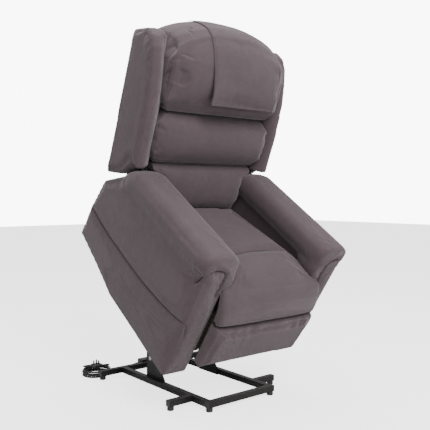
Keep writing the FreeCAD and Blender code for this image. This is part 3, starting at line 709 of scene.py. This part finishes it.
class RECLINER_OT_arms(bpy.types.Operator):
    """Upholster both arms: side panel, padded roll and pleated front"""
    bl_idname = "recliner.arms"
    bl_label = "Arms"

    def execute(self, context):
        sizes = context.scene.recliner_sizes
        arm = arm_shape()
        soften(arm, 6)
        outer = ARM_SEAM_X
        side_seam = [(outer, y, z) for y, z in ARM_SEAM]
        front_drop = [(0.352, -0.002, 0.262), (0.346, -0.004, 0.230), (0.338, -0.004, 0.196)]
        roll_seam = [(outer, 0.600, 0.505), (outer, 0.450, 0.510), (outer, 0.200, 0.510),
                     (outer, 0.045, 0.506)]
        pleat = [(0.362, 0.030, 0.440), (0.361, 0.012, 0.480), (0.350, -0.002, 0.508),
                 (0.320, -0.005, 0.514), (0.286, -0.005, 0.508), (0.272, -0.005, 0.490),
                 (0.270, -0.005, 0.440), (0.274, -0.004, 0.392)]

        def held(co):
            inside = np.clip((co[:, 0] - 0.262) / 0.02, 0.0, 1.0)
            top = np.clip((co[:, 2] - 0.470) / 0.02, 0.0, 1.0)
            low = np.clip(co[:, 2] / 0.06, 0.0, 1.0)
            return np.maximum(inside, top) * low

        fill(arm, sizes.side_swell, [pleat, side_seam], held)
        divide(arm)
        sew(arm, [(side_seam, 0.0040, 0.0003), (front_drop, 0.003, 0.0), (roll_seam, 0.0022, 0.0004),
                  (pleat, 0.0105, 0.0016),
                  ([(0.362, 0.100, 0.470), (0.362, 0.045, 0.492), (0.356, 0.010, 0.500)], 0.004, 0.0008)])
        twin = mirrored(arm, "arm_upholstery_right")
        arm.name = "arm_upholstery_left"
        for piece, side in ((arm, "left"), (twin, "right")):
            place(piece, CHAIR, "seat", ["arm_cover_" + side, "arm_pad_" + side],
                  finish_of("upholstery"))
        return {"FINISHED"}


# ---------------------------------------------------------------- wings
WING = [(-0.137, 0.264), (-0.101, 0.270), (-0.036, 0.205), (0.088, 0.160), (0.095, 0.460),
        (0.102, 0.777), (0.050, 0.792), (0.004, 0.804), (-0.042, 0.783), (-0.072, 0.742),
        (-0.096, 0.672), (-0.114, 0.602), (-0.126, 0.510), (-0.133, 0.420), (-0.134, 0.340)]


class RECLINER_OT_wings(bpy.types.Operator):
    """Upholster both wings of the back"""
    bl_idname = "recliner.wings"
    bl_label = "Wings"

    def execute(self, context):
        sizes = context.scene.recliner_sizes
        wing = union("wing_skin", [slab("wing_block", WING, 0.277, 0.362)], 0.0072)

        def wing_shape(co):
            front = np.clip((-co[:, 1] - 0.020) / 0.060, 0.0, 1.0)
            co[:, 1] += 0.046 * np.clip((0.326 - co[:, 0]) / 0.048, 0.0, 1.0) ** 1.3 * front
            return co

        warp(wing, wing_shape)
        soften(wing, 16)

        def held(co):
            return np.clip((co[:, 0] - 0.290) / 0.03, 0.0, 1.0)

        fill(wing, sizes.side_swell * 1.2, (), held)
        divide(wing)
        rear = [(0.359, 0.078, 0.190), (0.359, 0.086, 0.460), (0.359, 0.088, 0.752)]
        sew(wing, [(rear, 0.0025, 0.0003)])
        twin = mirrored(wing, "wing_upholstery_right")
        wing.name = "wing_upholstery_left"
        for piece, side in ((wing, "left"), (twin, "right")):
            place(piece, BACK, "back", ["wing_" + side], finish_of("upholstery"))
        return {"FINISHED"}


# ---------------------------------------------------------------- back cushions
BACK_HALF = 0.274
# The crest: where its fall to the sides begins, over what height, and how sharply.
CREST_LOW, CREST_HEIGHT, CREST_POWER = 0.600, 0.240, 2.6
PILLOW_FALL, COVER_FALL = 0.066, 0.070
HEAD = [(0.010, 0.505), (0.010, 0.806), (0.090, 0.808), (0.096, 0.852), (0.040, 0.864), (-0.020, 0.866),
        (-0.074, 0.860), (-0.116, 0.836), (-0.146, 0.780), (-0.160, 0.710), (-0.163, 0.620),
        (-0.156, 0.548), (-0.118, 0.505)]
MIDDLE = [(0.010, 0.283), (0.010, 0.501), (-0.106, 0.501), (-0.142, 0.466), (-0.155, 0.395),
          (-0.144, 0.322), (-0.108, 0.283)]
LUMBAR = [(0.010, 0.058), (0.010, 0.279), (-0.106, 0.279), (-0.138, 0.250), (-0.147, 0.200),
          (-0.146, 0.150), (-0.140, 0.110), (-0.120, 0.052)]


def back_cushion(name, outline, half, node, shape, seams, rounds=7):
    """A cushion of the back: its outline pulled across, shaped, filled and sewn."""
    sizes = bpy.context.scene.recliner_sizes
    piece = union(name, [slab(name + "_block", outline, -half, half)], 0.0074)
    warp(piece, shape)
    soften(piece, rounds)

    def held(co):
        return np.clip((0.004 - co[:, 1]) / 0.05, 0.0, 1.0)

    fill(piece, sizes.back_swell, [], held)
    divide(piece)
    sew(piece, seams)
    place(piece, BACK, "back", [node], finish_of("upholstery"), filling=0.75)
    return piece


class RECLINER_OT_back_cushions(bpy.types.Operator):
    """Make the head, middle and lumbar cushions"""
    bl_idname = "recliner.back_cushions"
    bl_label = "Back cushions"

    def execute(self, context):
        def flare(co, half):
            """The ends bulge out over the wings in front and fall back round the corners."""
            edge = np.abs(co[:, 0]) / half
            front = np.clip((-co[:, 1] - 0.112) / 0.030, 0.0, 1.0)
            co[:, 0] *= 1.0 + 0.090 * front
            co[:, 1] += 0.014 * edge ** 4 * front
            return co

        def head_shape(co):
            edge = np.abs(co[:, 0]) / BACK_HALF
            high = np.clip((co[:, 2] - CREST_LOW) / CREST_HEIGHT, 0.0, 1.0)
            co[:, 2] -= PILLOW_FALL * edge ** CREST_POWER * high ** 2
            return flare(co, BACK_HALF)

        def roll_shape(co):
            return flare(co, BACK_HALF)

        def lumbar_shape(co):
            width = np.interp(co[:, 2], [0.06, 0.236, 0.262, 0.28], [0.212, 0.220, 0.268, BACK_HALF])
            co[:, 0] *= width / BACK_HALF
            return flare(co, width)

        pleats = [([(x, -0.040, 0.838), (x + 0.012, -0.075, 0.822), (x + 0.014, -0.100, 0.800)], 0.0045,
                   0.0)
                  for x in (-0.222, -0.196, -0.168, 0.180, 0.214)]
        side_seams = [([(side * 0.262, -0.060, 0.530), (side * 0.266, -0.075, 0.690),
                        (side * 0.262, -0.040, 0.770)],
                       0.003, 0.0006) for side in (-1, 1)]
        back_cushion("head_pillow", HEAD, BACK_HALF, "head_cushion", head_shape, pleats + side_seams, 9)
        creases = [([(-0.268, -0.100, 0.420), (-0.235, -0.146, 0.404)], 0.004, 0.0)]
        back_cushion("middle_roll", MIDDLE, BACK_HALF, "middle_cushion", roll_shape, creases)
        creases = [([(-0.262, -0.100, 0.262), (-0.225, -0.136, 0.256)], 0.005, 0.0),
                   ([(-0.250, -0.100, 0.246), (-0.226, -0.140, 0.236)], 0.004, 0.0)]
        back_cushion("lumbar_pad", LUMBAR, BACK_HALF, "lumbar_cushion", lumbar_shape, creases)
        return {"FINISHED"}


# ---------------------------------------------------------------- headrest cover
COVER_PATH = [(0.074, 0.860), (0.040, 0.868), (0.000, 0.870), (-0.040, 0.868), (-0.082, 0.860),
              (-0.122, 0.836), (-0.150, 0.796), (-0.166, 0.750), (-0.173, 0.700), (-0.175, 0.650),
              (-0.175, 0.600), (-0.173, 0.566)]
COVER_LEFT, COVER_RIGHT = -0.140, 0.246


class RECLINER_OT_headrest_cover(bpy.types.Operator):
    """Drape the loose headrest cover over the head cushion"""
    bl_idname = "recliner.headrest_cover"
    bl_label = "Headrest cover"

    def execute(self, context):
        sizes = context.scene.recliner_sizes
        pillow = bpy.data.objects["head_pillow"]
        inverse = BACK.inverted()
        tree = BVHTree.FromPolygons([inverse @ v.co for v in pillow.data.vertices],
                                    [p.vertices[:] for p in pillow.data.polygons])
        path = [Vector((y, z)) for y, z in COVER_PATH]
        lengths = [0.0]
        for a, b in zip(path, path[1:]):
            lengths.append(lengths[-1] + (b - a).length)
        rows, columns = 72, 56
        width = COVER_RIGHT - COVER_LEFT
        mesh = bmesh.new()
        grid = []
        for i in range(rows + 1):
            s = lengths[-1] * i / rows
            y = float(np.interp(s, lengths, [p.x for p in path]))
            z = float(np.interp(s, lengths, [p.y for p in path]))
            line = []
            for j in range(columns + 1):
                t = j / columns
                x = COVER_LEFT + width * t
                hang = max(0.0, (s - 0.30) / (lengths[-1] - 0.30)) ** 1.6
                loose = 0.022 * hang * (1.0 - t) ** 2 + 0.010 * hang
                fold = 0.0030 * hang * math.sin(9.0 * (t + 0.35 * hang)) * (1.0 - t)
                point = Vector((x + 0.016 * hang * (1 - t), y, z - 0.006 * hang * t))
                hit, normal, _, _ = tree.find_nearest(point)
                lying = min(1.0, max(0.0, (0.32 - s) / 0.08))
                if (point - hit).dot(normal) < 0.0045:
                    lying = 1.0
                point = point.lerp(hit + normal * 0.0045, lying)
                point += Vector((0.0, -loose - fold, 0.0))
                line.append(mesh.verts.new(point))
            grid.append(line)
        for first, second in zip(grid, grid[1:]):
            for j in range(columns):
                mesh.faces.new((first[j], first[j + 1], second[j + 1], second[j]))
        data = bpy.data.meshes.new("headrest_cover_cloth")
        mesh.to_mesh(data)
        mesh.free()
        cover = object_of("headrest_cover_cloth", data)
        soften(cover, 6)
        apply_modifier(cover, "SOLIDIFY", thickness=sizes.cover_thickness, offset=1.0)
        # Painted shade along the cover's side and lower hems, kept in the seam attribute for the fabric's colour.
        low, high = COVER_LEFT + 0.012, COVER_RIGHT - 0.012
        co = points_of(cover)
        hem = np.minimum(np.abs(co[:, 0] - low), np.abs(co[:, 0] - high))
        hem = np.minimum(hem, np.abs(co[:, 2] - (COVER_PATH[-1][1] + 0.014)) + (co[:, 1] > -0.1))
        seam_shade = cover.data.attributes.new("seam", "FLOAT", "POINT")
        seam_shade.data.foreach_set("value", (0.45 * np.exp(-(hem / 0.003) ** 2)).astype(np.float32))
        place(cover, BACK, "back", ["headrest_cover"], finish_of("upholstery"), filling=None)
        return {"FINISHED"}


# ---------------------------------------------------------------- seat and legrest
SEAT_HALF, FRONT_WIDENING = 0.247, 0.062
SEAT = [(0.592, 0.326), (0.594, 0.376), (0.560, 0.381), (0.440, 0.398), (0.300, 0.419), (0.160, 0.438),
        (0.060, 0.444), (0.006, 0.438), (-0.036, 0.414), (-0.064, 0.376), (-0.076, 0.334),
        (-0.078, 0.292), (-0.054, 0.284), (-0.030, 0.296), (-0.026, 0.340), (-0.006, 0.386),
        (0.040, 0.402), (0.092, 0.400), (0.094, 0.326)]
LEG_PANEL = [(-0.027, 0.082), (-0.027, 0.280), (-0.074, 0.282), (-0.077, 0.240), (-0.070, 0.150),
             (-0.062, 0.080)]


class RECLINER_OT_seat(bpy.types.Operator):
    """Make the seat pad that runs over its front edge, and the padded legrest below it"""
    bl_idname = "recliner.seat"
    bl_label = "Seat and legrest"

    def execute(self, context):
        sizes = context.scene.recliner_sizes
        seat = union("seat_pad", [slab("seat_block", SEAT, -SEAT_HALF, SEAT_HALF)], 0.0078)

        def seat_shape(co):
            front = np.clip((0.012 - co[:, 1]) / 0.030, 0.0, 1.0)
            co[:, 0] *= 1.0 + FRONT_WIDENING * front
            edge = np.abs(co[:, 0]) / (SEAT_HALF * (1.0 + FRONT_WIDENING * front))
            surface = np.interp(co[:, 1], [0.10, 0.590], [0.442, 0.376])
            top = np.clip((co[:, 2] - surface + 0.040) / 0.040, 0.0, 1.0)
            co[:, 2] -= 0.010 * edge ** 4 * top
            ahead = np.clip((-0.030 - co[:, 1]) / 0.03, 0.0, 1.0)
            co[:, 1] += 0.010 * edge ** 6 * ahead
            return co

        warp(seat, seat_shape)
        soften(seat, 7)
        cross = [(-0.245, 0.150, 0.452), (-0.121, 0.154, 0.456), (0.0, 0.172, 0.458),
                 (0.094, 0.170, 0.457), (0.245, 0.160, 0.452)]

        def held(co):
            surface = np.interp(co[:, 1], [0.10, 0.590], [0.442, 0.376])
            above = np.clip((co[:, 2] - surface + 0.045) / 0.03, 0.0, 1.0)
            ahead = np.clip((-0.034 - co[:, 1]) / 0.02, 0.0, 1.0)
            sides = np.clip((0.262 - np.abs(co[:, 0])) / 0.012, 0.25, 1.0)
            return np.maximum(above, ahead) * sides

        fill(seat, sizes.seat_swell, [[(x, y, z - 0.010) for x, y, z in cross]], held)
        divide(seat)
        co = points_of(seat)
        tree = BVHTree.FromPolygons([tuple(c) for c in co], [p.vertices[:] for p in seat.data.polygons])
        on_top = []
        for x, y, _ in cross:
            hit, _, _, _ = tree.ray_cast(Vector((max(-0.232, min(0.232, x)), y, 0.6)),
                                         Vector((0.0, 0.0, -1.0)))
            on_top.append(tuple(hit))
        sew(seat, [(on_top, 0.0022, 0.0005)])
        place(seat, CHAIR, None, ["seat_cushion", "legrest_pad"], finish_of("upholstery"), filling=0.7)
        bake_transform(seat)

        panel = union("legrest_front", [slab("panel_block", LEG_PANEL, -0.262, 0.262)], 0.0068)
        soften(panel, 6)

        def panel_held(co):
            return np.clip((-0.036 - co[:, 1]) / 0.015, 0.0, 1.0)

        fill(panel, 0.012, (), panel_held)
        divide(panel)
        co = points_of(panel)
        gathers = np.exp(-np.abs(co[:, 2] - 0.285) / 0.04) * 0.0010 + 0.0003
        wave = (np.sin(co[:, 0] * 83.0 + 3.0 * np.sin(co[:, 0] * 17.0 + co[:, 2] * 9.0)) + 0.7 * np.sin(
            co[:, 0] * 41.0 + 1.7 * np.sin(co[:, 0] * 13.0))) * np.clip((-0.04 - co[:, 1]) / 0.02, 0.0, 1.0)
        co[:, 1] += gathers * wave
        set_points(panel, co)
        place(panel, CHAIR, "legrest", [], finish_of("upholstery"), filling=0.6)
        return {"FINISHED"}


# ---------------------------------------------------------------- rear covers and pocket
class RECLINER_OT_rear_covers(bpy.types.Operator):
    """Stretch the cover fabric over the back's rear, the seat's rear and the handset pocket"""
    bl_idname = "recliner.rear_covers"
    bl_label = "Rear covers and pocket"

    def execute(self, context):
        for name, node, axes, body, voxel, swell in (
                ("outer_back_cover", "outer_back", BACK, "back", 0.0075, 0.006),
                ("seat_rear_cover", "rear_panel", CHAIR, "seat", 0.0070, 0.004)):
            piece = union(name, [cad_copy(name, node, axes)], voxel)
            middle = points_of(piece)[:, 1].mean()

            def crest(co):
                high = np.clip((co[:, 2] - CREST_LOW) / CREST_HEIGHT, 0.0, 1.0)
                edge = (np.abs(co[:, 0]) / BACK_HALF).clip(0.0, 1.0)
                co[:, 2] -= COVER_FALL * edge ** CREST_POWER * high ** 2
                return co

            if axes is BACK:
                warp(piece, crest)

            def held(co):
                return np.clip((co[:, 1] - middle) / 0.004, 0.0, 1.0)

            fill(piece, swell, (), held)
            divide(piece)
            co = points_of(piece)
            low, high = co.min(0), co.max(0)
            rim = 0.014
            outer = [(low[0] + rim, high[1], low[2] + rim), (high[0] - rim, high[1], low[2] + rim),
                     (high[0] - rim, high[1], high[2] - rim), (low[0] + rim, high[1], high[2] - rim),
                     (low[0] + rim, high[1], low[2] + rim)]
            sew(piece, [(outer, 0.0022, 0.0004)])
            place(piece, axes, body, [node], finish_of("upholstery"), filling=0.3)
        pocket = union("pocket_cloth", [cad_copy("pocket_cloth", "handset_pocket", CHAIR)], 0.0022)
        soften(pocket, 3)
        place(pocket, CHAIR, "seat", ["handset_pocket"], finish_of("upholstery"), filling=0.2)
        return {"FINISHED"}


# ---------------------------------------------------------------- frame finishes
class RECLINER_OT_frame_finishes(bpy.types.Operator):
    """Give every visible part of the frame its finish"""
    bl_idname = "recliner.frame_finishes"
    bl_label = "Frame finishes"

    def execute(self, context):
        for part in frame["record"]["subparts"]:
            node = frame["nodes"][part["node"]]
            node.data.materials.clear()
            node.data.materials.append(finish_of(part["material_slot"]))
        return {"FINISHED"}


class RECLINER_PT_panel(bpy.types.Panel):
    """Sizes, colours and pieces of the lift recliner"""
    bl_idname = "RECLINER_PT_panel"
    bl_label = "Recliner"
    bl_space_type = "VIEW_3D"
    bl_region_type = "UI"
    bl_category = "Recliner"

    def draw(self, context):
        scene = context.scene
        for group in (scene.recliner_sizes, scene.recliner_colours):
            column = self.layout.column(align=True)
            for name in group.__annotations__:
                column.prop(group, name)
        column = self.layout.column(align=True)
        for operator in OPERATORS:
            column.operator(operator.bl_idname)


OPERATORS = (RECLINER_OT_stage, RECLINER_OT_mains_lead, RECLINER_OT_frame_finishes, RECLINER_OT_arms,
             RECLINER_OT_wings, RECLINER_OT_back_cushions, RECLINER_OT_headrest_cover, RECLINER_OT_seat,
             RECLINER_OT_rear_covers)
CLASSES = (ReclinerSizes, ReclinerColours, *OPERATORS, RECLINER_PT_panel)


def register():
    for item in CLASSES:
        bpy.utils.register_class(item)
    bpy.types.Scene.recliner_sizes = PointerProperty(type=ReclinerSizes)
    bpy.types.Scene.recliner_colours = PointerProperty(type=ReclinerColours)


def unregister():
    del bpy.types.Scene.recliner_colours
    del bpy.types.Scene.recliner_sizes
    for item in reversed(CLASSES):
        bpy.utils.unregister_class(item)


def main():
    register()
    for operator in OPERATORS:
        group, name = operator.bl_idname.split(".")
        getattr(getattr(bpy.ops, group), name)()


if __name__ == "__main__":
    main()
